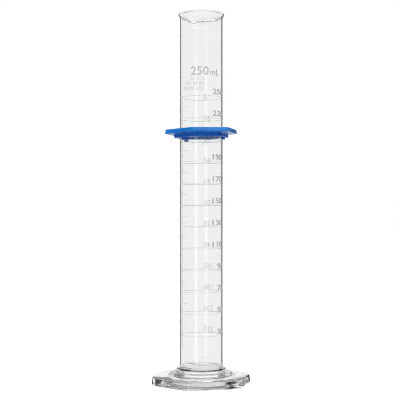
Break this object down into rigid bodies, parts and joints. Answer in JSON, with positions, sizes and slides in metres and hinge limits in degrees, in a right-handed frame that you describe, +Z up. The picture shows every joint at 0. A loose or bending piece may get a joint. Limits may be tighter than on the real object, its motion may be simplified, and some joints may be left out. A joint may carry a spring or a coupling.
{
  "type": "graduated cylinder",
  "caption": "Tall glass measuring cylinder with a pouring lip, a hexagonal glass foot and a sliding hexagonal plastic bumper guard.",
  "frame": {"origin": "centre of the foot's underside, on the surface the cylinder stands on", "axes": "+Z up along the tube, +X towards a corner of the hexagonal foot, the pouring spout is near +Y"},
  "size_m": [0.09, 0.0828, 0.33],
  "materials": {
    "tube_glass": "clear fire-polished borosilicate",
    "foot_glass": "clear pressed glass, slightly wavy",
    "guard_plastic": "glossy moulded blue polyethylene",
    "scale_enamel": "fired pale grey enamel print"
  },
  "bodies": {
    "vessel": {"glass_tube": "tube_glass", "glass_foot": "foot_glass"},
    "guard": {"bumper_guard": "guard_plastic"}
  },
  "joints": [
    {"name": "guard_slide", "type": "slide", "parent": "vessel", "child": "guard", "axis": [0, 0, 1], "range_m": [-0.2, 0.092]}
  ]
}
